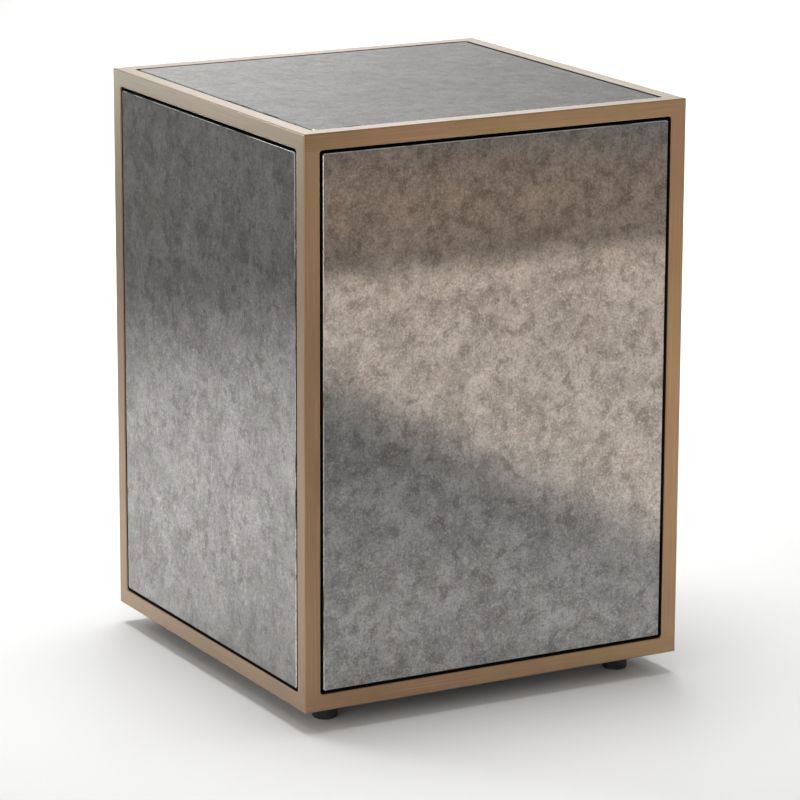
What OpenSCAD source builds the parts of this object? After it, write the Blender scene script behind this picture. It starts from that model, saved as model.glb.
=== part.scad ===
// Mirrored side table. A welded frame of square tube holds five antiqued mirror panels, a base
// board closes it from below, and it stands on four levelling feet that screw in and out.
// Millimetres. The origin is the centre of the footprint, on the floor. +Z is up, -Y the front.

/* [Frame] */
// Width and depth of the square footprint
table_w = 400; // [340:10:600]
// Height of the welded frame, without the feet
frame_h = 538; // [400:1:800]
// Outside width of the square tube
tube_w = 16; // [16:1:30]
// Wall thickness of the tube
tube_wall = 1.2; // [1:0.1:2]
// Radius of the tube's outside edges
tube_r = 1.2; // [0.6:0.1:2]

/* [Mirror panels] */
// Gap between the edge of a mirror and the frame around it
reveal = 3; // [1:0.5:6]
// How far the face of a mirror lies below the face of the frame
mirror_recess = 0.3; // [0.1:0.1:1]
// Thickness of the mirror glass
glass_t = 4; // [3:0.5:4]
// Width of the ground arris on the edges of the glass
arris = 0.8; // [0.4:0.1:1.2]
// Length cut off each corner of the glass
corner_cut = 2; // [0.5:0.5:5]
// Thickness of the double-sided tape
tape_t = 0.7; // [0.5:0.1:0.7]
// Width of one strip of tape
tape_w = 20; // [10:1:40]
// Number of strips of tape on a mirror
tape_strips = 4; // [2:1:5]
// Thickness of the backing board
board_t = 8; // [6:1:8]

/* [Base board] */
// Thickness of the base board
base_t = 12; // [9:1:12]
// How far the base board lies above the underside of the frame
base_recess = 1.5; // [1:0.5:1.5]
// Gap between the base board and the frame
base_gap = 1; // [0.5:0.5:3]

/* [Tabs and screws] */
// How far a mounting tab reaches in from the tube
tab_reach = 20; // [16:1:24]
// Width of a mounting tab along the tube
tab_w = 30; // [20:1:40]
// Thickness of a mounting tab
tab_t = 1.5; // [1:0.5:2]
// Distance between the two tabs on a post
side_tab_spread = 300; // [200:10:320]
// Distance between the two tabs on a rail
rail_tab_spread = 180; // [100:10:200]
// Shank diameter of the wood screws that hold the mirror panels
screw_d = 3.5; // [3:0.5:4]
// Head diameter of the wood screws
screw_head_d = 7; // [6:0.5:8]
// Depth to which the wood screws enter a backing board
screw_bite = 5.5; // [4:0.5:5.5]
// Diameter of the countersunk screws that hold the base board
base_screw_d = 4; // [3:0.5:5]
// Head diameter of the countersunk screws
base_head_d = 8; // [7:0.5:9]
// Length of the countersunk screws
base_screw_l = 16; // [15:1:20]

/* [Levelling feet] */
// Height of the frame above the floor with the feet screwed in
foot_drop = 21; // [21:1:30]
// Distance from the side of the table to the centre of a foot
foot_inset = 42; // [36:1:80]
// Diameter of the foot pad at its rim
pad_d = 25; // [22:1:30]
// Diameter of the foot pad at its lower edge
pad_bottom_d = 23.4; // [20:0.2:24]
// Radius of the pad's lower edge
pad_edge_r = 2; // [1:0.5:3]
// Height of the pad, without its hub
pad_h = 12; // [11:0.5:12]
// Diameter of the stem
stem_d = 8; // [6:1:8]
// Length of the thread above the hexagon collar
thread_l = 24; // [18:1:30]
// Pitch of the thread
thread_pitch = 1.25; // [1:0.05:1.5]
// Size of the hexagon collar across its flats
hex_af = 13; // [11:1:14]

/* [Hidden] */
$fn = 64;
// Running clearance of the stem, on the radius
run_gap = 0.05;
// Clearance of the screws, on the radius
screw_gap = 0.05;
// Extra length of a cutter past the face that it opens
over = 1;

half_w = table_w / 2;
open_half = half_w - tube_w;
open_h = frame_h - 2 * tube_w;
frame_top = foot_drop + frame_h;
mirror_w = 2 * (open_half - reveal);
mirror_h = open_h - 2 * reveal;

// Depths below the face of the frame
tape_depth = mirror_recess + glass_t;
board_depth = tape_depth + tape_t;
tab_depth = board_depth + board_t;
base_tab_depth = base_recess + base_t;

tape_margin = 12;
board_margin = 0.5;
tab_hole = 12;
tab_corner_r = 4;
tab_hole_gap = 0.3;
screw_head_h = 2;
screw_tip = 2.5;
base_head_h = (base_head_d - base_screw_d) / 2;
recess_l = 4.4;
recess_w = 0.9;
recess_depth = 1.1;

base_w = 2 * (open_half - base_gap);
foot_at = half_w - foot_inset;
nut_flange_d = 22;
nut_flange_t = 1.2;
nut_barrel_d = 10;
nut_h = 10.2;
prong_at = 9;
prong = [1.2, 2.4, 7];
nut_z = foot_drop + base_recess - nut_flange_t;

disc_z = 5;
disc_d = 14;
disc_h = 3;
hub_d = 16;
hub_h = 3.5;
hub_taper = 0.6;
pad_shoulder = 1;
collar_h = 5;
collar_z = nut_z - collar_h;
thread_depth = 0.6;
thread_start = 1.5;
stem_chamfer = 1;
thread_z = nut_z + thread_start;
thread_turns = floor((thread_l - thread_start - stem_chamfer) / thread_pitch);

// Name and turn about +Z of each side of the table
SIDES = [["front", 0], ["right", 90], ["back", 180], ["left", 270]];
// Name and direction from the centre of each corner
CORNERS = [
    ["front_left", [-1, -1]],
    ["front_right", [1, -1]],
    ["back_left", [-1, 1]],
    ["back_right", [1, 1]]
];
// Turn and offset along the tube of each tab, in a panel's own plane
SIDE_TABS = [for (turn = [0, 180], s = [-1, 1]) [turn, s * side_tab_spread / 2]];
FLAT_TABS = [for (turn = [0 : 90 : 270], s = [-1, 1]) [turn, s * rail_tab_spread / 2]];

// Places. A panel's own plane has its face side at +Z and the face of the frame at z = 0.

module on_side(turn) {
    rotate([0, 0, turn])
        translate([0, -half_w, foot_drop + frame_h / 2])
            rotate([90, 0, 0]) children();
}

module on_top() {
    translate([0, 0, frame_top]) children();
}

module on_base() {
    translate([0, 0, foot_drop]) rotate([180, 0, 0]) children();
}

module at_corner(corner) {
    translate([corner[1][0] * foot_at, corner[1][1] * foot_at, 0]) children();
}

module at_tabs(tabs, depth) {
    for (t = tabs)
        rotate([0, 0, t[0]]) translate([open_half, t[1], -depth]) children();
}

module at_tab_holes(tabs, depth) {
    at_tabs(tabs, depth) translate([-tab_hole, 0, 0]) children();
}

// Welded frame

// Square with rounded corners, centred
module rounded_square(size, r) {
    square([size, size - 2 * r], center = true);
    square([size - 2 * r, size], center = true);
    for (x = [-1, 1], y = [-1, 1])
        translate([x, y] * (size / 2 - r)) circle(r);
}

// Strip along the front, between two distances from the centre, with ends mitred at 45 degrees
module mitred_strip(outer, inner) {
    polygon([[-outer, -outer], [outer, -outer], [inner, -inner], [-inner, -inner]]);
}

// What rounding takes off an edge along X at the origin, with the tube towards -Y and -Z
module edge_cut(length) {
    difference() {
        translate([-length / 2, -tube_r, -tube_r]) cube([length, 2 * tube_r, 2 * tube_r]);
        translate([-length / 2 - over, -tube_r, -tube_r])
            rotate([0, 90, 0]) cylinder(r = tube_r, h = length + 2 * over);
    }
}

// Front rail of the top hoop, from z = 0 up. The edges that meet the posts are rounded between them.
module hoop_rail() {
    difference() {
        linear_extrude(tube_w) intersection() {
            rounded_square(table_w, tube_r);
            mitred_strip(half_w, open_half);
        }
        translate([0, 0, tube_wall]) linear_extrude(tube_w - 2 * tube_wall)
            mitred_strip(half_w - tube_wall, open_half + tube_wall);
        translate([0, -half_w, tube_w]) rotate([90, 0, 0]) edge_cut(table_w + 2 * over);
        translate([0, -open_half, tube_w]) edge_cut(table_w + 2 * over);
        translate([0, -half_w, 0]) rotate([180, 0, 0]) edge_cut(2 * open_half);
        translate([0, -open_half, 0]) rotate([270, 0, 0]) edge_cut(2 * open_half);
    }
}

module top_rail(turn) {
    color("#92795f") translate([0, 0, frame_top - tube_w]) rotate([0, 0, turn]) hoop_rail();
}

module bottom_rail(turn) {
    color("#92795f")
        translate([0, 0, foot_drop + tube_w]) mirror([0, 0, 1]) rotate([0, 0, turn]) hoop_rail();
}

module post(corner) {
    post_at = half_w - tube_w / 2;
    color("#8a7158")
        translate([corner[1][0] * post_at, corner[1][1] * post_at, foot_drop + tube_w])
            linear_extrude(open_h) difference() {
                rounded_square(tube_w, tube_r);
                square(tube_w - 2 * tube_wall, center = true);
            }
}

// Mirror panels, each in its own plane

// Section through the glass, with an arris on all four edges
module glass_section(width) {
    w = width / 2;
    polygon([
        [-w, -arris], [-w + arris, 0], [w - arris, 0], [w, -arris],
        [w, -glass_t + arris], [w - arris, -glass_t], [-w + arris, -glass_t], [-w, -glass_t + arris]
    ]);
}

module glass_outline(width, height) {
    w = width / 2;
    h = height / 2;
    c = corner_cut;
    polygon([
        [-w, -h + c], [-w + c, -h], [w - c, -h], [w, -h + c],
        [w, h - c], [w - c, h], [-w + c, h], [-w, h - c]
    ]);
}

module mirror_glass(width, height) {
    color("#8f8f8c") translate([0, 0, -mirror_recess]) intersection() {
        translate([0, 0, -glass_t]) linear_extrude(glass_t) glass_outline(width, height);
        rotate([90, 0, 0])
            translate([0, 0, -height / 2]) linear_extrude(height) glass_section(width);
        rotate([90, 0, 90])
            translate([0, 0, -width / 2]) linear_extrude(width) glass_section(height);
    }
}

module mirror_tape(width, height) {
    pitch = (width - 2 * tape_margin - tape_w) / (tape_strips - 1);
    strip = [tape_w, height - 2 * tape_margin, tape_t];
    color("#2b2b2b") for (i = [0 : tape_strips - 1])
        translate([-width / 2 + tape_margin + i * pitch, -strip[1] / 2, -board_depth]) cube(strip);
}

module backing_board(width, height, tabs) {
    size = [width - 2 * board_margin, height - 2 * board_margin, board_t];
    color("#1d1b1a") difference() {
        translate([-size[0] / 2, -size[1] / 2, -tab_depth]) cube(size);
        at_tab_holes(tabs, tab_depth + over)
            cylinder(r = screw_d / 2 + screw_gap, h = screw_bite + over);
    }
}

// Tabs and screws

// One tab, welded to the tube at x = 0, from z = 0 down
module tab(hole_d) {
    r = tab_corner_r;
    translate([0, 0, -tab_t]) linear_extrude(tab_t) difference() {
        union() {
            translate([r - tab_reach, -tab_w / 2]) square([tab_reach - r, tab_w]);
            translate([-tab_reach, r - tab_w / 2]) square([tab_reach, tab_w - 2 * r]);
            for (s = [-1, 1]) translate([r - tab_reach, s * (tab_w / 2 - r)]) circle(r);
        }
        translate([-tab_hole, 0]) circle(d = hole_d);
    }
}

module panel_tabs(tabs) {
    color("#5b534b") at_tabs(tabs, tab_depth) tab(screw_d + 2 * tab_hole_gap);
}

module cross_recess() {
    for (turn = [0, 90])
        rotate([0, 0, turn]) cube([recess_l, recess_w, 2 * recess_depth], center = true);
}

// Pan-head wood screw, with its thread towards +Z and the underside of its head at z = 0
module wood_screw() {
    shank_l = tab_t + screw_bite - screw_tip;
    difference() {
        union() {
            translate([0, 0, -screw_head_h / 2]) cylinder(d = screw_head_d, h = screw_head_h / 2);
            translate([0, 0, -screw_head_h])
                cylinder(d1 = screw_head_d - screw_head_h, d2 = screw_head_d, h = screw_head_h / 2);
        }
        translate([0, 0, -screw_head_h]) cross_recess();
    }
    cylinder(d = screw_d, h = shank_l);
    translate([0, 0, shank_l]) cylinder(d1 = screw_d, d2 = screw_d / 4, h = screw_tip);
}

module panel_screws(tabs) {
    color("#a9a9a6") at_tab_holes(tabs, tab_depth + tab_t) wood_screw();
}

// Countersunk screw from z = 0 down
module base_screw(gap) {
    r = base_screw_d / 2 + gap;
    translate([0, 0, -base_head_h]) cylinder(r1 = r, r2 = base_head_d / 2 + gap, h = base_head_h);
    translate([0, 0, -base_screw_l]) cylinder(r = r, h = base_screw_l);
}

module base_screws() {
    color("#a9a9a6") on_base() at_tab_holes(FLAT_TABS, base_recess) difference() {
        base_screw(0);
        cross_recess();
    }
}

module base_tabs() {
    color("#5b534b") on_base() at_tabs(FLAT_TABS, base_tab_depth)
        tab(base_screw_d + 2 * screw_gap);
}

// Base board and its tee nuts

module nut_prongs() {
    for (turn = [0 : 90 : 270])
        rotate([0, 0, turn]) translate([prong_at - prong[0], -prong[1] / 2, 0]) cube(prong);
}

module base_board() {
    color("#1d1b1a") difference() {
        translate([-base_w / 2, -base_w / 2, foot_drop + base_recess])
            cube([base_w, base_w, base_t]);
        on_base() at_tab_holes(FLAT_TABS, base_recess) base_screw(screw_gap);
        for (c = CORNERS) at_corner(c) translate([0, 0, nut_z]) {
            cylinder(r = nut_barrel_d / 2 + screw_gap, h = base_t + 2 * nut_flange_t);
            nut_prongs();
        }
    }
}

module tee_nut() {
    difference() {
        union() {
            cylinder(d = nut_flange_d, h = nut_flange_t);
            cylinder(d = nut_barrel_d, h = nut_h);
            nut_prongs();
        }
        translate([0, 0, -over]) cylinder(r = stem_d / 2 + run_gap, h = nut_h + 2 * over);
    }
}

module tee_nuts() {
    color("#b8b2a2") for (c = CORNERS) at_corner(c) translate([0, 0, nut_z]) tee_nut();
}

// Levelling feet

// Half section of the stem: captured disc, neck, ring-grooved thread and chamfered end
module stem_section() {
    r = stem_d / 2;
    stem_top = nut_z + thread_l;
    polygon(concat(
        [[0, disc_z], [disc_d / 2, disc_z], [disc_d / 2, disc_z + disc_h], [r, disc_z + disc_h]],
        [for (i = [0 : thread_turns - 1], p = [[0, 0], [0.4, thread_depth], [0.6, thread_depth], [0.9, 0]])
            [r - p[1], thread_z + (i + p[0]) * thread_pitch]],
        [[r, stem_top - stem_chamfer], [r - stem_chamfer, stem_top], [0, stem_top]]
    ));
}

module foot_stem(corner) {
    color("#b8b6b0") at_corner(corner) {
        rotate_extrude() stem_section();
        translate([0, 0, collar_z]) cylinder(d = hex_af / cos(30), h = collar_h, $fn = 6);
    }
}

module pad_section() {
    foot_r = pad_bottom_d / 2;
    rim_r = pad_d / 2;
    hub_r = hub_d / 2;
    polygon([
        [0, 0], [foot_r - pad_edge_r, 0], [foot_r, pad_edge_r], [rim_r, pad_h - pad_shoulder],
        [rim_r - pad_shoulder, pad_h], [hub_r, pad_h], [hub_r - hub_taper, pad_h + hub_h],
        [0, pad_h + hub_h]
    ]);
    translate([foot_r - pad_edge_r, pad_edge_r]) circle(pad_edge_r);
}

// The pad is moulded round the disc and neck of the stem, which turn in it
module foot_pad(corner) {
    color("#171717") at_corner(corner) difference() {
        rotate_extrude() pad_section();
        translate([0, 0, disc_z]) cylinder(r = disc_d / 2 + run_gap, h = disc_h + run_gap);
        translate([0, 0, disc_z]) cylinder(r = stem_d / 2 + run_gap, h = pad_h + hub_h);
    }
}

for (s = SIDES) top_rail(s[1]);
for (s = SIDES) bottom_rail(s[1]);
for (c = CORNERS) post(c);
for (s = SIDES) on_side(s[1]) mirror_glass(mirror_w, mirror_h);
for (s = SIDES) on_side(s[1]) mirror_tape(mirror_w, mirror_h);
for (s = SIDES) on_side(s[1]) backing_board(mirror_w, mirror_h, SIDE_TABS);
for (s = SIDES) on_side(s[1]) panel_tabs(SIDE_TABS);
for (s = SIDES) on_side(s[1]) panel_screws(SIDE_TABS);
on_top() mirror_glass(mirror_w, mirror_w);  // mirror_top
on_top() mirror_tape(mirror_w, mirror_w);  // mirror_tape_top
on_top() backing_board(mirror_w, mirror_w, FLAT_TABS);  // backing_board_top
on_top() panel_tabs(FLAT_TABS);  // panel_tabs_top
on_top() panel_screws(FLAT_TABS);  // panel_screws_top
base_board();
base_tabs();
base_screws();
tee_nuts();
for (c = CORNERS) foot_stem(c);
for (c = CORNERS) foot_pad(c);
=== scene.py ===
"""Looks of the mirrored side table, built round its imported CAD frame. Metres, +Z up, -Y the front."""
import math

import bmesh
import bpy
from mathutils import Matrix, Vector


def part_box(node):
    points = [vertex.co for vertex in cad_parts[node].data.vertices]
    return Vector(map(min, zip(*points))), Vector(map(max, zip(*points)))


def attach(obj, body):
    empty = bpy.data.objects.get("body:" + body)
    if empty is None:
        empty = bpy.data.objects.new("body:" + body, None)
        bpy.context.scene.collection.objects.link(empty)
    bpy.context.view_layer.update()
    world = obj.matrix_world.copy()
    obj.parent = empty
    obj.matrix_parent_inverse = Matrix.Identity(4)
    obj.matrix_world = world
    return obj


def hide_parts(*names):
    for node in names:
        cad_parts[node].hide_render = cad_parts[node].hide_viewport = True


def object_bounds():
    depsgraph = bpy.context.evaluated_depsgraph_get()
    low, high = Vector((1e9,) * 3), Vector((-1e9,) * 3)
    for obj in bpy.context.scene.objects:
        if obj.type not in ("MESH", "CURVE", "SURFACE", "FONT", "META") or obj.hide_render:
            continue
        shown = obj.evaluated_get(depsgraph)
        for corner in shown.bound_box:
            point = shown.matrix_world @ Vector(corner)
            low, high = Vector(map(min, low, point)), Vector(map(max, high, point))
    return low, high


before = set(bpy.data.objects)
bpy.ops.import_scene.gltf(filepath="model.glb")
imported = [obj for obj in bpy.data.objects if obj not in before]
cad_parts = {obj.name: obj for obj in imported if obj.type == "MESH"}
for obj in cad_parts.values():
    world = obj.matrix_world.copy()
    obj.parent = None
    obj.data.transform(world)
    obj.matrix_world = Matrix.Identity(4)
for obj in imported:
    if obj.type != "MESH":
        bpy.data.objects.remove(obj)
cad_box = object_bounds()

MM = 0.001
SIDES = ("front", "right", "back", "left")
PANELS = SIDES + ("top",)
CORNERS = ("front_left", "front_right", "back_left", "back_right")

# The welded frame's box, and the gap round each mirror
FRAME_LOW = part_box("bottom_rail_front")[0]
FRAME_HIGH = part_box("top_rail_back")[1]
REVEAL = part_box("mirror_front")[0].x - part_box("post_front_left")[1].x

# Where the camera stands and how it is turned
CAMERA_AT = Vector((-1.833, -3.344, 1.214))
CAMERA_AZIMUTH = math.radians(28.83)
CAMERA_DIP = math.radians(14.20)
CAMERA_ROLL = math.radians(0.20)
CAMERA_LENS = 183.3
CAMERA_SENSOR = 36.0

# The world's strength away from its glow and in it, and the glow's place and size in degrees
WORLD_LOW, WORLD_HIGH = 0.43, 1.15
WORLD_WHITE = (1.0, 0.995, 0.985, 1.0)
GLOW_AZIMUTH, GLOW_ELEVATION = 6.0, 2.0
GLOW_INNER, GLOW_OUTER = 10.0, 28.0

# Colours of the lamps
WHITE = (1.0, 1.0, 1.0)
DAYLIGHT = (0.82, 0.92, 1.0)
SKYLIGHT = (0.62, 0.82, 1.0)
LAMPLIGHT = (1.0, 0.83, 0.69)
CANDLELIGHT = (1.0, 0.52, 0.18)

FLOOR_HALF = 14.0

# Painted shade inside the openings: black that stands in for the shade in the gaps. The depths below
# the frame's faces at which it starts and is full. Depth below the top counts for more, so the painted
# shade starts closer to the face there.
SHADE_STARTS, SHADE_FULL = 0.45 * MM, 1.0 * MM
TOP_DEPTH_GAIN = 2.2

# Mirror glass: the width of its ground arris and the length cut off its corners
ARRIS = 0.7 * MM
CORNER_DUB = 1.6 * MM
GLASS_IOR = 1.52
LACQUER_IOR = 1.5

# Weld fillets in the corners of the openings, with the rounding of the tubes' edges. They stop a hair
# below the frame's face.
FILLET_R = 2.6 * MM
FILLET_DEPTH = 12.0 * MM
FILLET_STEPS = 8
EDGE_R = 1.2 * MM
EDGE_STEPS = 5
FACE_DROP = 0.02 * MM

# Foot pads, up from the floor: recessed sole, side with a grip groove, shoulder, hub, bore for the stem
LATHE_STEPS = 96
SOLE_INNER, SOLE_OUTER, SOLE_DEPTH, SOLE_SLOPE = 3.0 * MM, 5.8 * MM, 0.5 * MM, 0.4 * MM
PAD_TAPER = 0.8 * MM
PAD_EDGE_R = 2.0 * MM
GROOVE_HEIGHTS = (7.4 * MM, 7.6 * MM, 7.8 * MM)
GROOVE_REACHES = (0.42 * MM, 0.30 * MM, 0.46 * MM)
HUB_HEIGHT, HUB_R, HUB_TAPER = 3.5 * MM, 8.0 * MM, 0.4 * MM
SHOULDER_R, HUB_ROOT_R, HUB_EDGE_R = 1.0 * MM, 0.8 * MM, 0.5 * MM
BORE_R, BORE_CHAMFER = 4.05 * MM, 0.3 * MM
POCKET_R, POCKET_LOW, POCKET_HIGH = 7.05 * MM, 5.0 * MM, 8.05 * MM

# Foot stems: captured disc, neck, hexagon collar and thread
DISC_R, DISC_HEIGHT, DISC_CHAMFER = 7.0 * MM, 3.0 * MM, 0.3 * MM
NECK_R, TIP_R = 4.0 * MM, 3.0 * MM
COLLAR_HEIGHT, COLLAR_FLATS = 5.0 * MM, 13.0 * MM
COLLAR_FACE_R = 0.96 * COLLAR_FLATS / 2
COLLAR_SLOPE = math.tan(math.radians(30))
THREAD_ABOVE_NUT, THREAD_BELOW_TIP = 1.2 * MM, 1.0 * MM
THREAD_PITCH = 1.25 * MM
THREAD_DEPTH = 0.62 * MM
THREAD_STEPS = 48
# How far round the turn, and how deep, each point of the thread's profile is
THREAD_PROFILE = ((0.0, 0.0), (0.10, 0.0), (0.44, 1.0), (0.60, 1.0), (0.94, 0.0))
# Turns over which the thread fades out at either end
THREAD_RUNOUT = 0.8


# Small helpers

def new_object(name, mesh):
    obj = bpy.data.objects.new(name, mesh)
    bpy.context.scene.collection.objects.link(obj)
    return obj


def mesh_object(name, verts, faces, materials, face_slots=None, smooth=True):
    """Mesh with its doubled points joined and its faces turned outwards."""
    mesh = bpy.data.meshes.new(name)
    mesh.from_pydata([tuple(v) for v in verts], [], faces)
    for material in materials:
        mesh.materials.append(material)
    if face_slots:
        mesh.polygons.foreach_set("material_index", face_slots)
    mesh.polygons.foreach_set("use_smooth", [smooth] * len(mesh.polygons))
    bm = bmesh.new()
    bm.from_mesh(mesh)
    bmesh.ops.remove_doubles(bm, verts=bm.verts, dist=1e-7)
    bmesh.ops.recalc_face_normals(bm, faces=bm.faces)
    bm.to_mesh(mesh)
    bm.free()
    return new_object(name, mesh)


def split_sharp_edges(obj, degrees):
    """Hard edges where faces meet at more than this angle."""
    limit = math.radians(degrees)
    bm = bmesh.new()
    bm.from_mesh(obj.data)
    for edge in bm.edges:
        edge.smooth = len(edge.link_faces) == 2 and edge.calc_face_angle(0.0) < limit
    bm.to_mesh(obj.data)
    bm.free()


class Shader:
    """A node material with one Principled shader and short names for the nodes used here."""

    def __init__(self, name):
        self.material = bpy.data.materials.new(name)
        self.material.use_nodes = True
        self.tree = self.material.node_tree
        self.bsdf = self.tree.nodes["Principled BSDF"]
        self.place = self.node("ShaderNodeTexCoord").outputs["Object"]

    def node(self, kind, **settings):
        made = self.tree.nodes.new(kind)
        for key, value in settings.items():
            setattr(made, key, value)
        return made

    def link(self, source, target):
        self.tree.links.new(source, target)

    def put(self, socket, value):
        if isinstance(value, bpy.types.NodeSocket):
            self.link(value, self.bsdf.inputs[socket])
        else:
            self.bsdf.inputs[socket].default_value = value

    def stretched(self, scale=(1, 1, 1), location=(0, 0, 0)):
        mapping = self.node("ShaderNodeMapping")
        mapping.inputs["Scale"].default_value = scale
        mapping.inputs["Location"].default_value = location
        self.link(self.place, mapping.inputs["Vector"])
        return mapping.outputs["Vector"]

    def noise(self, scale, detail=3.0, roughness=0.5, distortion=0.0, at=None):
        noise = self.node("ShaderNodeTexNoise")
        noise.inputs["Scale"].default_value = scale
        noise.inputs["Detail"].default_value = detail
        noise.inputs["Roughness"].default_value = roughness
        noise.inputs["Distortion"].default_value = distortion
        self.link(at or self.place, noise.inputs["Vector"])
        return noise.outputs["Fac"]

    def speckle(self, scale):
        """Distance to the nearest of scattered points, and a random value for each point."""
        cells = self.node("ShaderNodeTexVoronoi", feature="F1")
        cells.inputs["Scale"].default_value = scale
        cells.inputs["Randomness"].default_value = 1.0
        self.link(self.place, cells.inputs["Vector"])
        return cells.outputs["Distance"], cells.outputs["Color"]

    def remap(self, value, low, high, to_low=0.0, to_high=1.0, smooth=True):
        node = self.node("ShaderNodeMapRange", clamp=True)
        node.interpolation_type = "SMOOTHSTEP" if smooth else "LINEAR"
        self.link(value, node.inputs["Value"])
        for key, number in zip(("From Min", "From Max", "To Min", "To Max"), (low, high, to_low, to_high)):
            node.inputs[key].default_value = number
        return node.outputs["Result"]

    def math(self, operation, a, b=None):
        node = self.node("ShaderNodeMath", operation=operation)
        for index, value in enumerate((a, b)):
            if isinstance(value, bpy.types.NodeSocket):
                self.link(value, node.inputs[index])
            elif value is not None:
                node.inputs[index].default_value = value
        return node.outputs["Value"]

    def mix(self, factor, a, b, blend="MIX"):
        node = self.node("ShaderNodeMix", data_type="RGBA", blend_type=blend)
        for index, value in ((0, factor), (6, a), (7, b)):
            if isinstance(value, bpy.types.NodeSocket):
                self.link(value, node.inputs[index])
            elif index == 0:
                node.inputs[index].default_value = value
            else:
                node.inputs[index].default_value = (*value, 1.0)
        return node.outputs[2]

    def bump(self, height, strength, distance):
        bump = self.node("ShaderNodeBump")
        bump.inputs["Strength"].default_value = strength
        bump.inputs["Distance"].default_value = distance
        self.link(height, bump.inputs["Height"])
        self.link(bump.outputs["Normal"], self.bsdf.inputs["Normal"])


# Materials

def depth_inside(s):
    """Distance from a point to the nearest outer face of the frame, in metres."""
    parts = s.node("ShaderNodeSeparateXYZ")
    s.link(s.place, parts.inputs[0])
    x, y, z = parts.outputs
    nearest = s.math("SUBTRACT", FRAME_HIGH.x, s.math("ABSOLUTE", x))
    nearest = s.math("MINIMUM", nearest, s.math("SUBTRACT", FRAME_HIGH.y, s.math("ABSOLUTE", y)))
    from_top = s.math("MULTIPLY", s.math("SUBTRACT", FRAME_HIGH.z, z), TOP_DEPTH_GAIN)
    nearest = s.math("MINIMUM", nearest, from_top)
    return s.math("MINIMUM", nearest, s.math("SUBTRACT", z, FRAME_LOW.z))


def bronze(axis):
    """Satin antique bronze under clear lacquer, brushed along one axis, with painted black shade in the
    openings.
    """
    s = Shader(f"antique_bronze_{axis}")
    fine = {"x": (2, 160, 160), "y": (160, 2, 160), "z": (160, 160, 2)}[axis]
    broad = {"x": (1, 5, 5), "y": (5, 1, 5), "z": (5, 5, 1)}[axis]
    hair = s.noise(9.0, detail=4.0, roughness=0.65, at=s.stretched(fine))
    streak = s.noise(4.0, detail=2.0, roughness=0.5, at=s.stretched(fine, (3, 5, 7)))
    cloud = s.noise(2.4, detail=3.0, roughness=0.55, distortion=0.3, at=s.stretched(broad))
    blush = s.noise(13.0, detail=3.0, roughness=0.55, at=s.stretched(location=(2, 4, 6)))
    base = s.mix(s.remap(cloud, 0.34, 0.66), (0.248, 0.148, 0.060), (0.326, 0.204, 0.092))
    base = s.mix(s.remap(blush, 0.44, 0.64, 0.0, 0.80), base, (0.312, 0.172, 0.092))
    base = s.mix(s.remap(streak, 0.50, 0.70, 0.0, 0.45), base, (0.400, 0.262, 0.138))
    base = s.mix(s.remap(hair, 0.54, 0.70, 0.0, 0.50), base, (0.178, 0.102, 0.045))
    # Painted shade: the walls inside the openings turn matt black with depth, standing in for the shade in
    # the gaps.
    painted_shade = s.remap(depth_inside(s), SHADE_STARTS, SHADE_FULL)
    base = s.mix(painted_shade, base, (0.010, 0.008, 0.007))
    s.put("Base Color", base)
    s.put("Metallic", s.remap(painted_shade, 0.0, 1.0, 1.0, 0.2, smooth=False))
    brushed = s.remap(hair, 0.3, 0.7, 0.34, 0.44, smooth=False)
    s.put("Roughness", s.math("MAXIMUM", brushed, s.math("MULTIPLY", painted_shade, 0.7)))
    s.put("Coat Weight", s.remap(painted_shade, 0.0, 1.0, 1.0, 0.0, smooth=False))
    s.put("Coat Roughness", 0.30)
    s.put("Coat IOR", LACQUER_IOR)
    s.bump(hair, 0.20, 0.05 * MM)
    return s.material


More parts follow.
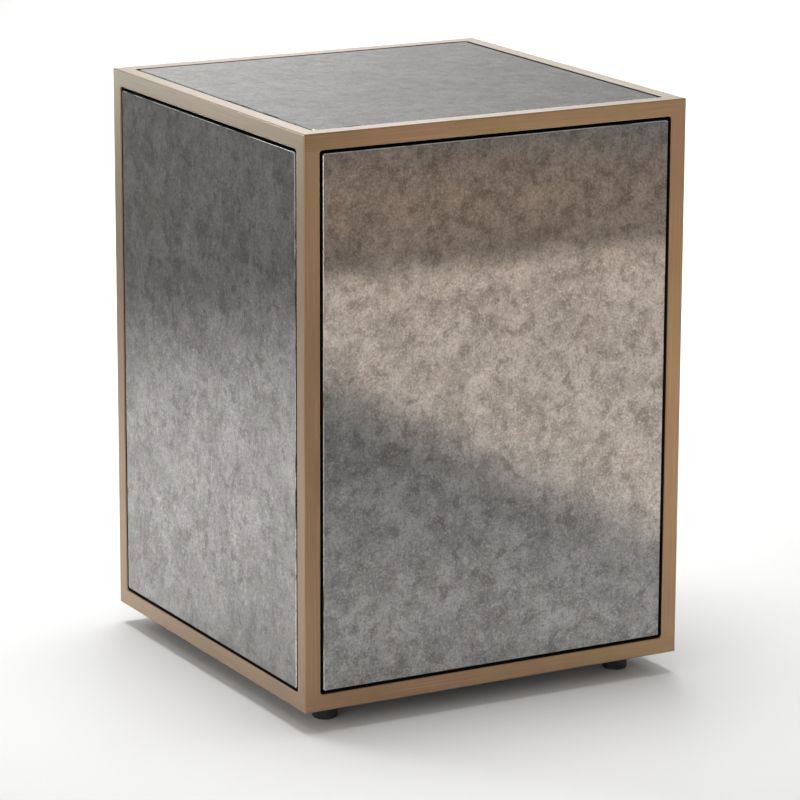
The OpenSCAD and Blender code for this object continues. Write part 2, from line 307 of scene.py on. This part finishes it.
def antique_silver():
    """Smoky antiqued silvering under clear glass: clouds that shift in hue, fine mottling and specks."""
    s = Shader("antique_silvering")
    clouds = s.noise(26.0, detail=4.0, roughness=0.6, distortion=0.35)
    hues = s.noise(34.0, detail=3.0, roughness=0.55, at=s.stretched(location=(0.3, 0.7, 0.2)))
    mottle = s.noise(68.0, detail=3.0, roughness=0.55, distortion=0.4,
                     at=s.stretched(location=(0.9, 0.1, 0.5)))
    grain = s.noise(170.0, detail=3.0, roughness=0.65, at=s.stretched(location=(0.2, 0.8, 0.6)))
    dust = s.noise(430.0, detail=3.0, roughness=0.70)
    base = s.mix(s.remap(clouds, 0.36, 0.66), (0.186, 0.182, 0.178), (0.286, 0.279, 0.272))
    base = s.mix(s.remap(hues, 0.50, 0.68, 0.0, 0.50), base, (0.220, 0.222, 0.196))
    base = s.mix(s.remap(hues, 0.48, 0.32, 0.0, 0.50), base, (0.252, 0.226, 0.220))
    base = s.mix(s.remap(mottle, 0.51, 0.67, 0.0, 0.72), base, (0.108, 0.094, 0.089))
    base = s.mix(s.remap(mottle, 0.46, 0.32, 0.0, 0.42), base, (0.390, 0.382, 0.364))
    base = s.mix(s.remap(grain, 0.51, 0.70, 0.0, 0.50), base, (0.100, 0.092, 0.087))
    base = s.mix(s.remap(grain, 0.47, 0.29, 0.0, 0.40), base, (0.420, 0.410, 0.396))
    base = s.mix(s.remap(dust, 0.50, 0.68, 0.0, 0.58), base, (0.092, 0.085, 0.081))
    base = s.mix(s.remap(dust, 0.48, 0.32, 0.0, 0.42), base, (0.470, 0.458, 0.442))
    distance, chance = s.speckle(210.0)
    picked = s.remap(chance, 0.80, 0.92)
    spots = s.math("MULTIPLY", s.remap(distance, 0.26, 0.12), picked)
    base = s.mix(s.math("MULTIPLY", spots, 0.70), base, (0.050, 0.046, 0.044))
    s.put("Base Color", base)
    # The glass bends light down onto the silver, so its mottling shows at grazing angles too
    tint = s.mix(1.0, base, (2.7, 2.7, 2.7), blend="MULTIPLY")
    s.put("Specular Tint", s.mix(0.35, tint, WHITE))
    s.put("Metallic", 1.0)
    haze = s.remap(clouds, 0.36, 0.70, 0.045, 0.018)
    s.put("Roughness", s.math("ADD", haze, s.remap(dust, 0.50, 0.75, 0.0, 0.06)))
    s.put("Coat Weight", 1.0)
    s.put("Coat Roughness", 0.01)
    s.put("Coat IOR", GLASS_IOR)
    return s.material


def ground_arris():
    """The narrow polished bevel round a mirror's face."""
    s = Shader("polished_glass_arris")
    chips = s.noise(240.0, detail=4.0, roughness=0.75)
    runs = s.noise(16.0, detail=3.0, roughness=0.65, at=s.stretched(location=(5, 3, 1)))
    base = s.mix(s.remap(runs, 0.36, 0.50), (0.100, 0.102, 0.100), (0.700, 0.704, 0.695))
    s.put("Base Color", s.mix(s.remap(chips, 0.46, 0.66, 0.0, 0.6), base, (0.180, 0.182, 0.178)))
    s.put("Metallic", 0.9)
    s.put("Roughness", s.remap(chips, 0.3, 0.7, 0.10, 0.26))
    s.put("Coat Weight", 0.5)
    s.put("Coat Roughness", 0.08)
    s.bump(chips, 0.20, 0.04 * MM)
    return s.material


def glass_edge():
    """The cut edge of the glass, nearly black where it looks into the gap."""
    s = Shader("cut_glass_edge")
    lines = s.noise(360.0, detail=3.0, roughness=0.6)
    s.put("Base Color", s.mix(s.remap(lines, 0.35, 0.65), (0.014, 0.015, 0.015), (0.026, 0.027, 0.027)))
    s.put("Roughness", s.remap(lines, 0.3, 0.7, 0.22, 0.38))
    s.put("Coat Weight", 0.3)
    s.put("Coat Roughness", 0.10)
    return s.material


def painted(name, dark, light, roughness, scale, depth):
    """Sprayed or rolled paint: two close tones and a fine orange-peel bump."""
    s = Shader(name)
    peel = s.noise(scale, detail=3.0, roughness=0.55)
    tone = s.noise(30.0, detail=3.0, roughness=0.5)
    s.put("Base Color", s.mix(s.remap(tone, 0.35, 0.65), dark, light))
    s.put("Roughness", s.remap(peel, 0.3, 0.7, roughness - 0.06, roughness + 0.06))
    s.bump(peel, 0.35, depth)
    return s.material


def plated(name, low, high, roughness):
    """Zinc-plated steel, faintly mottled and finely scratched."""
    s = Shader(name)
    mottle = s.noise(240.0, detail=4.0, roughness=0.6)
    scratch = s.noise(260.0, detail=4.0, roughness=0.65, at=s.stretched((1, 1, 5)))
    tone = s.mix(s.remap(mottle, 0.36, 0.66), low, high)
    s.put("Base Color", s.mix(s.remap(scratch, 0.5, 0.75, 0.0, 0.4), tone, low))
    s.put("Metallic", 1.0)
    s.put("Roughness", s.remap(mottle, 0.3, 0.7, roughness - 0.05, roughness + 0.09))
    s.bump(scratch, 0.18, 0.03 * MM)
    return s.material


def moulded_nylon():
    """Matt black nylon with a fine mould texture, scuffed lighter in places."""
    s = Shader("black_moulded_nylon")
    texture = s.noise(1500.0, detail=2.0, roughness=0.6)
    scuff = s.noise(110.0, detail=4.0, roughness=0.6)
    s.put("Base Color", s.mix(s.remap(scuff, 0.42, 0.70), (0.012, 0.012, 0.013), (0.030, 0.030, 0.031)))
    s.put("Roughness", s.remap(scuff, 0.35, 0.70, 0.42, 0.62))
    s.bump(texture, 0.30, 0.03 * MM)
    return s.material


def foam():
    """The open-celled foam of the double-sided tape."""
    s = Shader("tape_foam")
    cells = s.noise(1800.0, detail=3.0, roughness=0.7)
    s.put("Base Color", s.mix(s.remap(cells, 0.35, 0.65), (0.020, 0.020, 0.021), (0.055, 0.054, 0.052)))
    s.put("Roughness", s.remap(cells, 0.3, 0.7, 0.80, 0.95))
    s.bump(cells, 0.5, 0.08 * MM)
    return s.material


def floor_paint():
    """Matt off-white studio floor."""
    s = Shader("studio_floor")
    tone = s.noise(0.8, detail=2.0, roughness=0.5)
    s.put("Base Color", s.mix(s.remap(tone, 0.3, 0.7), (0.850, 0.847, 0.842), (0.870, 0.867, 0.862)))
    s.put("Roughness", 0.75)
    s.put("Specular IOR Level", 0.25)
    return s.material


BRONZE = {axis: bronze(axis) for axis in "xyz"}
SILVER = antique_silver()
ARRIS_GLASS = ground_arris()
EDGE_GLASS = glass_edge()
BACK_PAINT = painted("mirror_back_paint", (0.055, 0.057, 0.060), (0.085, 0.087, 0.090),
                     roughness=0.55, scale=700.0, depth=0.04 * MM)
BOARD_BLACK = painted("board_black_paint", (0.012, 0.011, 0.010), (0.024, 0.022, 0.020),
                      roughness=0.62, scale=520.0, depth=0.08 * MM)
TAB_LACQUER = painted("tab_dark_lacquer", (0.100, 0.078, 0.060), (0.150, 0.118, 0.090),
                      roughness=0.42, scale=900.0, depth=0.03 * MM)
ZINC = plated("bright_zinc", (0.46, 0.46, 0.45), (0.66, 0.66, 0.65), roughness=0.28)
ZINC_DULL = plated("dull_zinc", (0.38, 0.37, 0.35), (0.56, 0.55, 0.52), roughness=0.36)
NYLON = moulded_nylon()
FOAM = foam()


def repaint(node, material):
    """Give a CAD node's object one material in place of its own."""
    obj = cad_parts[node]
    obj.data.materials.clear()
    obj.data.materials.append(material)


# CAD nodes whose shape is right

def dress_frame():
    """Bronze on the tubes, brushed along each one."""
    for side in SIDES:
        grain = BRONZE["x"] if side in ("front", "back") else BRONZE["y"]
        repaint(f"top_rail_{side}", grain)
        repaint(f"bottom_rail_{side}", grain)
    for corner in CORNERS:
        repaint(f"post_{corner}", BRONZE["z"])


def dress_inside():
    """Finishes of the pieces behind the mirrors and under the table."""
    for panel in PANELS:
        repaint(f"mirror_tape_{panel}", FOAM)
        repaint(f"backing_board_{panel}", BOARD_BLACK)
        repaint(f"panel_tabs_{panel}", TAB_LACQUER)
        repaint(f"panel_screws_{panel}", ZINC)
    repaint("base_board", BOARD_BLACK)
    repaint("base_tabs", TAB_LACQUER)
    repaint("base_screws", ZINC)
    repaint("tee_nuts", ZINC_DULL)


# Places. A panel's own plane has +Z out of the table and +Y up.

OUTWARD = {
    "front": Vector((0, -1, 0)),
    "right": Vector((1, 0, 0)),
    "back": Vector((0, 1, 0)),
    "left": Vector((-1, 0, 0)),
    "top": Vector((0, 0, 1)),
}


def panel_plane(panel):
    """Matrix from a panel's own plane to the table, with its origin in the middle of the mirror's face."""
    low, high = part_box(f"mirror_{panel}")
    out = OUTWARD[panel]
    up = Vector((0, 1, 0)) if panel == "top" else Vector((0, 0, 1))
    across = up.cross(out)
    half_thickness = abs((high - low).dot(out)) / 2
    matrix = Matrix((across, up, out)).transposed().to_4x4()
    matrix.translation = (low + high) / 2 + out * half_thickness
    return matrix


def panel_size(panel):
    """Width, height and thickness of a mirror."""
    low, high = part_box(f"mirror_{panel}")
    size = high - low
    out = OUTWARD[panel]
    thickness = abs(size.dot(out))
    width = size.x if panel in ("front", "back", "top") else size.y
    height = size.y if panel == "top" else size.z
    return width, height, thickness


# Mirrors

def dubbed_ring(half_w, half_h, z):
    """Outline of a rectangle with its corners cut off, one point after another."""
    short_w, short_h = half_w - CORNER_DUB, half_h - CORNER_DUB
    ring = []
    for sx, sy in ((1, 1), (-1, 1), (-1, -1), (1, -1)):
        ends = [Vector((sx * half_w, sy * short_h, z)), Vector((sx * short_w, sy * half_h, z))]
        ring += ends if sx * sy > 0 else ends[::-1]
    return ring


def make_mirror(panel):
    """Glass with a ground arris round its face, a silvered face and a painted back."""
    width, height, thickness = panel_size(panel)
    # How far each outline is drawn in from the edge of the glass, and how far below its face it lies
    outlines = (
        (ARRIS, 0.0),
        (0.25 * ARRIS, 0.55 * ARRIS),
        (0.0, ARRIS),
        (0.0, thickness - ARRIS / 2),
        (ARRIS / 2, thickness),
    )
    rings = [dubbed_ring(width / 2 - inset, height / 2 - inset, -depth) for inset, depth in outlines]
    matrix = panel_plane(panel)
    verts = [matrix @ point for ring in rings for point in ring]
    size = len(rings[0])
    last = len(rings) - 1
    face_slot, arris_slot, edge_slot, back_slot = range(4)
    faces = [tuple(range(size)), tuple(range(last * size, (last + 1) * size))]
    slots = [face_slot, back_slot]
    for level in range(last):
        for i in range(size):
            j = (i + 1) % size
            below = (level + 1) * size
            faces.append((level * size + i, level * size + j, below + j, below + i))
            slots.append(arris_slot if level < 2 else edge_slot)
    mirror = mesh_object(f"mirror_glass_{panel}", verts, faces,
                         [SILVER, ARRIS_GLASS, EDGE_GLASS, BACK_PAINT], slots, smooth=False)
    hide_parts(f"mirror_{panel}")
    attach(mirror, "table")


# Weld fillets that round the corners of the openings, with the tubes' edge rounding carried round

def fillet_section(turn):
    """Points at one turn round the fillet, from the frame's face down to the back of the fillet."""
    direction = Vector((math.cos(turn), math.sin(turn), 0))
    centre = Vector((FILLET_R, FILLET_R, 0))
    section = []
    for step in range(EDGE_STEPS + 1):
        lean = math.pi / 2 * step / EDGE_STEPS
        reach = FILLET_R + EDGE_R * (1 - math.sin(lean))
        drop = EDGE_R * (1 - math.cos(lean))
        section.append(centre - direction * reach - Vector((0, 0, drop)))
    section.append(centre - direction * FILLET_R - Vector((0, 0, FILLET_DEPTH)))
    return section


def make_fillets(panel):
    """Four fillets in one opening, one mesh."""
    width, height, _ = panel_size(panel)
    matrix = panel_plane(panel)
    face_lift = cad_box[1].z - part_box("mirror_top")[1].z - FACE_DROP
    per = EDGE_STEPS + 2
    verts, faces = [], []
    for sx, sy in ((-1, -1), (1, -1), (1, 1), (-1, 1)):
        corner = Vector((sx * (width / 2 + REVEAL), sy * (height / 2 + REVEAL), face_lift))
        start = len(verts)
        for i in range(FILLET_STEPS + 1):
            for point in fillet_section(math.pi / 2 * i / FILLET_STEPS):
                verts.append(matrix @ (corner + Vector((-sx * point.x, -sy * point.y, point.z))))
        root_top = len(verts)
        verts.append(matrix @ (corner + Vector((sx * EDGE_R, sy * EDGE_R, 0))))
        root_bottom = len(verts)
        verts.append(matrix @ (corner + Vector((0, 0, -FILLET_DEPTH))))
        for i in range(FILLET_STEPS):
            a, b = start + i * per, start + (i + 1) * per
            for k in range(per - 1):
                faces.append((a + k, b + k, b + k + 1, a + k + 1))
            faces.append((root_top, b, a))
            faces.append((root_bottom, a + per - 1, b + per - 1))
        first = [start + k for k in range(per)]
        last = [start + FILLET_STEPS * per + k for k in range(per)]
        faces.append((root_top, *first, root_bottom))
        faces.append((root_bottom, *last[::-1], root_top))
    fillets = mesh_object(f"weld_fillets_{panel}", verts, faces, [BRONZE["z"]], smooth=True)
    split_sharp_edges(fillets, degrees=40)
    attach(fillets, "table")


# Levelling feet

def lathe(name, profile, centre, material):
    """Turned solid from (radius, height) points that start and end on the axis."""
    verts, faces = [], []
    inner = profile[1:-1]
    for radius, height in inner:
        for i in range(LATHE_STEPS):
            angle = 2 * math.pi * i / LATHE_STEPS
            verts.append(centre + Vector((radius * math.cos(angle), radius * math.sin(angle), height)))
    low, high = len(verts), len(verts) + 1
    verts.append(centre + Vector((0, 0, profile[0][1])))
    verts.append(centre + Vector((0, 0, profile[-1][1])))
    for k in range(len(inner) - 1):
        row, above = k * LATHE_STEPS, (k + 1) * LATHE_STEPS
        for i in range(LATHE_STEPS):
            j = (i + 1) % LATHE_STEPS
            faces.append((row + i, row + j, above + j, above + i))
    top = (len(inner) - 1) * LATHE_STEPS
    for i in range(LATHE_STEPS):
        j = (i + 1) % LATHE_STEPS
        faces.append((low, j, i))
        faces.append((high, top + i, top + j))
    obj = mesh_object(name, verts, faces, [material])
    split_sharp_edges(obj, degrees=32)
    return obj


def arc(centre_r, centre_z, radius, start, end, steps):
    """Points of an arc in a profile, with angles in degrees from outwards towards up."""
    made = []
    for i in range(steps + 1):
        angle = math.radians(start + (end - start) * i / steps)
        made.append((centre_r + radius * math.cos(angle), centre_z + radius * math.sin(angle)))
    return made


def make_pad(corner):
    """Moulded pad with a recessed sole, a grip groove, a hub and a pocket for the stem's disc."""
    low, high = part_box(f"foot_pad_{corner}")
    centre = Vector(((low.x + high.x) / 2, (low.y + high.y) / 2, low.z))
    rim = (high.x - low.x) / 2
    foot = rim - PAD_TAPER
    total = high.z - low.z
    shoulder = total - HUB_HEIGHT
    profile = [(0, 0), (SOLE_INNER, 0), (SOLE_INNER + SOLE_SLOPE, SOLE_DEPTH),
               (SOLE_OUTER - SOLE_SLOPE, SOLE_DEPTH), (SOLE_OUTER, 0)]
    profile += arc(foot - PAD_EDGE_R, PAD_EDGE_R, PAD_EDGE_R, -90, 0, 8)
    profile += [(foot + reach, height) for reach, height in zip(GROOVE_REACHES, GROOVE_HEIGHTS)]
    profile += arc(rim - SHOULDER_R, shoulder - SHOULDER_R, SHOULDER_R, 0, 90, 5)
    profile += arc(HUB_R + HUB_ROOT_R, shoulder + HUB_ROOT_R, HUB_ROOT_R, 270, 180, 4)
    profile += arc(HUB_R - HUB_TAPER - HUB_EDGE_R, total - HUB_EDGE_R, HUB_EDGE_R, 0, 90, 4)
    profile += [(BORE_R + BORE_CHAMFER, total), (BORE_R, total - BORE_CHAMFER), (BORE_R, POCKET_HIGH)]
    profile += [(POCKET_R, POCKET_HIGH), (POCKET_R, POCKET_LOW), (0, POCKET_LOW)]
    pad = lathe(f"nylon_pad_{corner}", profile, centre, NYLON)
    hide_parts(f"foot_pad_{corner}")
    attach(pad, f"pad_{corner}")


def hexagon_reach(angle):
    """Distance from the middle of the collar's hexagon to its outline, with flats at the front and back."""
    sector = math.pi / 3
    from_flat = (angle + math.pi / 2 + sector / 2) % sector - sector / 2
    return COLLAR_FLATS / 2 / math.cos(from_flat)


def collar_rounding(angle):
    """How far the collar's chamfer has fallen back at its outline."""
    return max(0.0, hexagon_reach(angle) - COLLAR_FACE_R) * COLLAR_SLOPE


def make_stem(corner):
    """Captured disc, neck, chamfered hexagon collar and a cut thread, all one closed mesh."""
    low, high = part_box(f"foot_stem_{corner}")
    centre = Vector(((low.x + high.x) / 2, (low.y + high.y) / 2, 0))
    nut_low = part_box("tee_nuts")[0].z
    bottom, top = low.z, high.z
    collar_low = nut_low - COLLAR_HEIGHT
    thread_low, thread_high = nut_low + THREAD_ABOVE_NUT, top - THREAD_BELOW_TIP
    turns = int((thread_high - thread_low) / THREAD_PITCH) - 1
    thread_turns = turns + THREAD_PROFILE[-1][0]
    around = THREAD_STEPS

    def ring(radius, height):
        """One ring of points; radius and height are functions of the angle."""
        made = []
        for i in range(around):
            angle = 2 * math.pi * i / around
            out = radius(angle)
            made.append(centre + Vector((out * math.cos(angle), out * math.sin(angle), height(angle))))
        return made

    def flat_ring(radius, height):
        return ring(lambda angle: radius, lambda angle: height)

    def thread_ring(start, depth):
        """One ring of the helix, which climbs a whole pitch as it goes round."""
        def climbed(angle):
            return start + angle / (2 * math.pi)

        def radius(angle):
            fade = min(1.0, climbed(angle) / THREAD_RUNOUT, (thread_turns - climbed(angle)) / THREAD_RUNOUT)
            return NECK_R - depth * THREAD_DEPTH * max(0.0, fade)

        return ring(radius, lambda angle: thread_low + THREAD_PITCH * climbed(angle))

    rings = [
        flat_ring(DISC_R - DISC_CHAMFER, bottom),
        flat_ring(DISC_R, bottom + DISC_CHAMFER),
        flat_ring(DISC_R, bottom + DISC_HEIGHT - DISC_CHAMFER),
        flat_ring(DISC_R - DISC_CHAMFER, bottom + DISC_HEIGHT),
        flat_ring(NECK_R, bottom + DISC_HEIGHT),
        flat_ring(NECK_R, collar_low),
        flat_ring(COLLAR_FACE_R, collar_low),
        ring(hexagon_reach, lambda angle: collar_low + collar_rounding(angle)),
        ring(hexagon_reach, lambda angle: nut_low - collar_rounding(angle)),
        flat_ring(COLLAR_FACE_R, nut_low),
        flat_ring(NECK_R, nut_low),
        flat_ring(NECK_R, thread_low),
    ]
    first = len(rings)
    for turn in range(turns):
        rings += [thread_ring(turn + share, depth) for share, depth in THREAD_PROFILE]
    last = len(rings) - 1
    rings += [flat_ring(NECK_R, thread_high), flat_ring(TIP_R, top)]

    def at(k, i):
        """Number of the point i of ring k."""
        return k * around + i

    end = around - 1
    faces = [tuple(range(around))[::-1], tuple(range(at(len(rings) - 1, 0), at(len(rings), 0)))]
    for k in range(len(rings) - 1):
        for i in range(end):
            faces.append((at(k, i), at(k, i + 1), at(k + 1, i + 1), at(k + 1, i)))
        if k < first - 1 or k > last:
            faces.append((at(k, end), at(k, 0), at(k + 1, 0), at(k + 1, end)))
    # The helix closes on the same ring one turn up, and a many-sided face ends it above and below
    step = len(THREAD_PROFILE)
    for k in range(first, last - step):
        faces.append((at(k, end), at(k + step, 0), at(k + step + 1, 0), at(k + 1, end)))
    faces.append((at(first - 1, end), at(first - 1, 0), *[at(first + k, 0) for k in range(step + 1)],
                  at(first, end)))
    faces.append((at(last - step, end), at(last, 0), at(last + 1, 0), at(last + 1, end),
                  *[at(last - k, end) for k in range(step)]))
    verts = [point for made in rings for point in made]
    stem = mesh_object(f"threaded_stem_{corner}", verts, faces, [ZINC_DULL])
    split_sharp_edges(stem, degrees=30)
    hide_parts(f"foot_stem_{corner}")
    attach(stem, f"stem_{corner}")


# Studio

def make_floor():
    """Plain floor that reaches far past the camera's view."""
    verts = [Vector((x * FLOOR_HALF, y * FLOOR_HALF, 0)) for x, y in ((-1, -1), (1, -1), (1, 1), (-1, 1))]
    floor = mesh_object("studio_floor_plane", verts, [(0, 1, 2, 3)], [floor_paint()], smooth=False)


def soft_light(name, at, aim, size, power, spread, colour=WHITE):
    """A softbox with a honeycomb grid, which narrows its beam to the spread in degrees."""
    light = bpy.data.lights.new(name, "AREA")
    light.shape = "RECTANGLE"
    light.size, light.size_y = size
    light.energy = power
    light.color = colour
    light.spread = math.radians(spread)
    obj = new_object(name, light)
    obj.location = at
    obj.rotation_euler = (Vector(aim) - Vector(at)).to_track_quat("-Z", "Y").to_euler()


def make_world():
    """Dim even studio light, with one broad soft glow low behind the table."""
    world = bpy.data.worlds.new("studio")
    bpy.context.scene.world = world
    world.use_nodes = True
    tree = world.node_tree
    background = tree.nodes["Background"]
    background.inputs["Color"].default_value = WORLD_WHITE
    place = tree.nodes.new("ShaderNodeTexCoord")
    toward = tree.nodes.new("ShaderNodeVectorMath")
    toward.operation = "DOT_PRODUCT"
    az, el = math.radians(GLOW_AZIMUTH), math.radians(GLOW_ELEVATION)
    toward.inputs[1].default_value = (math.sin(az) * math.cos(el), math.cos(az) * math.cos(el), math.sin(el))
    fade = tree.nodes.new("ShaderNodeMapRange")
    fade.interpolation_type = "SMOOTHSTEP"
    fade.inputs["From Min"].default_value = math.cos(math.radians(GLOW_OUTER))
    fade.inputs["From Max"].default_value = math.cos(math.radians(GLOW_INNER))
    fade.inputs["To Min"].default_value = WORLD_LOW
    fade.inputs["To Max"].default_value = WORLD_HIGH
    tree.links.new(place.outputs["Generated"], toward.inputs[0])
    tree.links.new(toward.outputs["Value"], fade.inputs["Value"])
    tree.links.new(fade.outputs["Result"], background.inputs["Strength"])


def make_lights():
    # Even light on the floor under and behind the table
    soft_light("backdrop_wash", at=(1.25, 2.2, 3.4), aim=(1.48, 2.62, 0.0), size=(1.5, 4.4),
               power=34.0, spread=34)
    soft_light("overhead", at=(0.0, 0.2, 2.3), aim=(0.0, 0.0, 0.0), size=(1.2, 1.2),
               power=5.2, spread=55)

    # Key, rim and edge lights on the table itself
    soft_light("key_back_left", at=(-1.2, 1.6, 1.7), aim=(0.1, -0.2, 0.2), size=(0.5, 0.5),
               power=0.8, spread=60)
    soft_light("rim_behind", at=(2.0, 3.6, 2.6), aim=(0.0, 0.0, 0.5), size=(1.2, 1.2),
               power=1.6, spread=50, colour=DAYLIGHT)
    soft_light("edge_light", at=(-1.5, -0.95, 0.45), aim=(-0.2, -0.2, 0.25), size=(0.8, 0.8),
               power=1.5, spread=80)
    soft_light("left_strip", at=(-1.3, 2.0, 0.5), aim=(-0.2, 0.0, 0.52), size=(1.0, 0.4),
               power=0.40, spread=32, colour=SKYLIGHT)
    soft_light("right_strip", at=(1.2, -2.4, 0.5), aim=(0.0, -0.2, 0.52), size=(1.0, 0.4),
               power=0.08, spread=32)

    # Pools of light on the floor, straight below their lamps, for the mirrors at the sides to reflect
    soft_light("left_pool", at=(-0.64, 0.85, 0.8), aim=(-0.64, 0.85, 0.0), size=(0.8, 0.9),
               power=1.3, spread=60)
    soft_light("front_pool", at=(0.87, -1.22, 0.4), aim=(0.87, -1.22, 0.0), size=(0.85, 1.35),
               power=4.2, spread=32, colour=LAMPLIGHT)
    soft_light("far_pool", at=(1.1, -2.3, 1.2), aim=(1.1, -2.3, 0.0), size=(1.1, 0.6),
               power=1.2, spread=60, colour=CANDLELIGHT)


def make_camera():
    """Long-lens camera, turned from +Y towards +X, then dipped and rolled."""
    data = bpy.data.cameras.new("camera")
    data.sensor_width = CAMERA_SENSOR
    data.lens = CAMERA_LENS
    data.clip_end = 60.0
    camera = new_object("camera", data)
    az, dip, roll = CAMERA_AZIMUTH, CAMERA_DIP, CAMERA_ROLL
    ahead = Vector((math.sin(az) * math.cos(dip), math.cos(az) * math.cos(dip), -math.sin(dip)))
    right = Vector((math.cos(az), -math.sin(az), 0))
    up = right.cross(ahead)
    turned_right = right * math.cos(roll) + up * math.sin(roll)
    turned_up = up * math.cos(roll) - right * math.sin(roll)
    matrix = Matrix((turned_right, turned_up, -ahead)).transposed().to_4x4()
    matrix.translation = CAMERA_AT
    camera.matrix_world = matrix
    bpy.context.scene.camera = camera


bpy.context.scene.view_settings.view_transform = "Standard"
make_camera()
make_world()
make_lights()
make_floor()
dress_frame()
dress_inside()
for name in PANELS:
    make_mirror(name)
    make_fillets(name)
for name in CORNERS:
    make_pad(name)
    make_stem(name)
